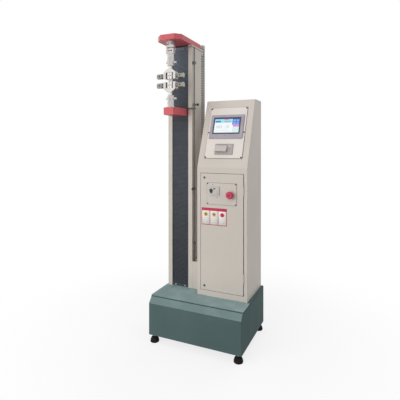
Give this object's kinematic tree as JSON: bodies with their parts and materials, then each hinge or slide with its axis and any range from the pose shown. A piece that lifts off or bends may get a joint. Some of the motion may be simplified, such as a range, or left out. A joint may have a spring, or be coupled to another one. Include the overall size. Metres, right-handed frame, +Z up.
{
  "type": "universal testing machine",
  "caption": "Free-standing single-column tensile tester: a driven crosshead moves a wedge grip under a load cell, with a sloped touch-screen console cabinet on the same base.",
  "frame": {"origin": "on the floor, under the middle of the base", "axes": "X to the machine's right, Y to its back, Z up"},
  "size_m": [0.54, 0.42, 1.716],
  "materials": {
    "base_green_paint": "satin grey-green powder coat",
    "machine_beige_paint": "satin warm beige powder coat",
    "signal_red_paint": "satin red paint",
    "bellows_cloth": "coated slate cloth",
    "bright_steel": "bright plated steel",
    "jaw_steel": "hardened ground steel",
    "dark_steel": "oil-blackened steel",
    "pulley_aluminium": "machined aluminium",
    "foot_rubber": "matt black rubber",
    "duct_plastic": "grey PVC",
    "panel_ivory": "smooth ivory panel",
    "bezel_plastic": "grey moulded plastic",
    "screen_glass": "display glass",
    "printer_plastic": "grey moulded plastic",
    "motor_black_paint": "black enamel",
    "module_casing": "light grey moulded casing",
    "black_plastic": "black moulded plastic",
    "stop_red_plastic": "red moulded plastic"
  },
  "bodies": {
    "frame": {"base_chassis": "base_green_paint", "base_top_plate": "base_green_paint", "foot_pads": "foot_rubber", "frame_fasteners": "bright_steel", "column_frame": "machine_beige_paint", "top_cap": "signal_red_paint", "guide_rails": "bright_steel", "screw_bearings": "bright_steel", "upper_bellows": "bellows_cloth", "lower_bellows": "bellows_cloth", "switch_housing": "machine_beige_paint", "limit_spring": "dark_steel", "rod_guide": "dark_steel", "wiring_duct": "duct_plastic", "cabinet_shell": "machine_beige_paint", "cabinet_back_panel": "machine_beige_paint", "electrical_modules": "module_casing", "power_inlet": "black_plastic", "console_panel": "panel_ivory", "touchscreen_case": "bezel_plastic", "touchscreen_glass": "screen_glass", "printer_body": "printer_plastic", "drive_motor": "motor_black_paint", "motor_bracket": "bright_steel", "timing_belt": "foot_rubber", "load_cell": "bright_steel", "upper_coupling": "bright_steel", "upper_grip_body": "bright_steel"},
    "crosshead": {"crosshead_arm": "signal_red_paint", "crosshead_carriage": "bright_steel", "ball_nut": "bright_steel", "limit_arm": "dark_steel", "lower_coupling": "bright_steel", "lower_grip_body": "bright_steel"},
    "screw": {"ball_screw": "bright_steel", "screw_pulley": "pulley_aluminium"},
    "motor_rotor": {"motor_pulley": "pulley_aluminium"},
    "limit_rod": {"limit_rod": "dark_steel"},
    "door": {"cabinet_door": "machine_beige_paint", "switch_plate": "machine_beige_paint", "door_switches": "module_casing"},
    "upper_left_jaw": {"upper_left_jaw": "jaw_steel"},
    "upper_right_jaw": {"upper_right_jaw": "jaw_steel"},
    "lower_left_jaw": {"lower_left_jaw": "jaw_steel"},
    "lower_right_jaw": {"lower_right_jaw": "jaw_steel"},
    "upper_left_clamp": {"upper_left_clamp": "bright_steel"},
    "upper_right_clamp": {"upper_right_clamp": "bright_steel"},
    "lower_left_clamp": {"lower_left_clamp": "bright_steel"},
    "lower_right_clamp": {"lower_right_clamp": "bright_steel"},
    "upper_pin": {"upper_pin": "bright_steel"},
    "lower_pin": {"lower_pin": "bright_steel"},
    "upper_collar": {"upper_collar": "dark_steel"},
    "lower_collar": {"lower_collar": "dark_steel"},
    "upper_collar_knob": {"upper_collar_knob": "black_plastic"},
    "lower_collar_knob": {"lower_collar_knob": "black_plastic"},
    "upper_door_lock": {"upper_door_lock": "dark_steel"},
    "lower_door_lock": {"lower_door_lock": "dark_steel"},
    "estop_button": {"estop_button": "stop_red_plastic"},
    "breaker_lever": {"breaker_lever": "black_plastic"},
    "printer_door": {"printer_door": "printer_plastic"}
  },
  "joints": [
    {"name": "crosshead_slide", "type": "slide", "parent": "frame", "child": "crosshead", "axis": [0, 0, 1], "range_m": [-0.45, 0.008], "deforming": ["lower_bellows", "upper_bellows"]},
    {"name": "screw_turn", "type": "hinge", "parent": "frame", "child": "screw", "pos_m": [-0.18, 0.062, 0.9], "axis": [0, 0, 1], "continuous": true},
    {"name": "motor_turn", "type": "hinge", "parent": "frame", "child": "motor_rotor", "pos_m": [0.01, 0.062, 0.22], "axis": [0, 0, 1], "continuous": true},
    {"name": "limit_rod_slide", "type": "slide", "parent": "frame", "child": "limit_rod", "axis": [0, 0, 1], "range_m": [-0.003, 0.003], "stiffness_N_per_m": 3000, "springref_m": 0.0016, "deforming": ["limit_spring"]},
    {"name": "upper_collar_slide", "type": "slide", "parent": "limit_rod", "child": "upper_collar", "axis": [0, 0, 1], "range_m": [0, 0.2]},
    {"name": "lower_collar_slide", "type": "slide", "parent": "limit_rod", "child": "lower_collar", "axis": [0, 0, 1], "range_m": [-0.28, 0]},
    {"name": "upper_knob_turn", "type": "hinge", "parent": "upper_collar", "child": "upper_collar_knob", "pos_m": [-0.07, 0.003, 1.331], "axis": [1, 0, 0], "range_deg": [0, 360]},
    {"name": "lower_knob_turn", "type": "hinge", "parent": "lower_collar", "child": "lower_collar_knob", "pos_m": [-0.09, -0.017, 0.84], "axis": [0, -1, 0], "range_deg": [0, 360]},
    {"name": "upper_pin_pull", "type": "slide", "parent": "frame", "child": "upper_pin", "axis": [1, 0, 0], "range_m": [0, 0.06]},
    {"name": "lower_pin_pull", "type": "slide", "parent": "crosshead", "child": "lower_pin", "axis": [1, 0, 0], "range_m": [0, 0.06]},
    {"name": "door_swing", "type": "hinge", "parent": "frame", "child": "door", "pos_m": [0.2355, -0.0625, 0.6125], "axis": [0, 0, 1], "range_deg": [0, 100]},
    {"name": "upper_lock_turn", "type": "hinge", "parent": "door", "child": "upper_door_lock", "pos_m": [0.005, -0.056, 0.914], "axis": [0, 1, 0], "range_deg": [0, 90]},
    {"name": "lower_lock_turn", "type": "hinge", "parent": "door", "child": "lower_door_lock", "pos_m": [0.005, -0.056, 0.311], "axis": [0, -1, 0], "range_deg": [0, 90]},
    {"name": "estop_press", "type": "slide", "parent": "door", "child": "estop_button", "axis": [0, 1, 0], "range_m": [0, 0.005], "stiffness_N_per_m": 800},
    {"name": "breaker_toggle", "type": "hinge", "parent": "door", "child": "breaker_lever", "pos_m": [0.0485, -0.068, 0.8415], "axis": [1, 0, 0], "range_deg": [0, 50]},
    {"name": "printer_door_open", "type": "hinge", "parent": "frame", "child": "printer_door", "pos_m": [0.094, -0.04422, 1.06008], "axis": [1, 0, 0], "range_deg": [0, 75]},
    {"name": "upper_left_jaw_slide", "type": "slide", "parent": "frame", "child": "upper_left_jaw", "axis": [-1, 0, 0], "range_m": [0, 0.007]},
    {"name": "upper_left_clamp_turn", "type": "hinge", "parent": "upper_left_jaw", "child": "upper_left_clamp", "pos_m": [-0.24, -0.12, 1.485], "axis": [-1, 0, 0], "range_deg": [0, 1270]},
    {"name": "upper_right_jaw_slide", "type": "slide", "parent": "frame", "child": "upper_right_jaw", "axis": [1, 0, 0], "range_m": [0, 0.007]},
    {"name": "upper_right_clamp_turn", "type": "hinge", "parent": "upper_right_jaw", "child": "upper_right_clamp", "pos_m": [-0.12, -0.12, 1.485], "axis": [1, 0, 0], "range_deg": [0, 1270]},
    {"name": "lower_left_jaw_slide", "type": "slide", "parent": "crosshead", "child": "lower_left_jaw", "axis": [-1, 0, 0], "range_m": [0, 0.007]},
    {"name": "lower_left_clamp_turn", "type": "hinge", "parent": "lower_left_jaw", "child": "lower_left_clamp", "pos_m": [-0.24, -0.12, 1.433], "axis": [-1, 0, 0], "range_deg": [0, 1270]},
    {"name": "lower_right_jaw_slide", "type": "slide", "parent": "crosshead", "child": "lower_right_jaw", "axis": [1, 0, 0], "range_m": [0, 0.007]},
    {"name": "lower_right_clamp_turn", "type": "hinge", "parent": "lower_right_jaw", "child": "lower_right_clamp", "pos_m": [-0.12, -0.12, 1.433], "axis": [1, 0, 0], "range_deg": [0, 1270]}
  ],
  "couplings": [
    {"joint": "screw_turn", "follows": "crosshead_slide", "rad_per_m": 628.32},
    {"joint": "motor_turn", "follows": "crosshead_slide", "rad_per_m": 1587.3},
    {"joint": "upper_left_clamp_turn", "follows": "upper_left_jaw_slide", "rad_per_m": 3141.6},
    {"joint": "upper_right_clamp_turn", "follows": "upper_right_jaw_slide", "rad_per_m": 3141.6},
    {"joint": "lower_left_clamp_turn", "follows": "lower_left_jaw_slide", "rad_per_m": 3141.6},
    {"joint": "lower_right_clamp_turn", "follows": "lower_right_jaw_slide", "rad_per_m": 3141.6}
  ]
}
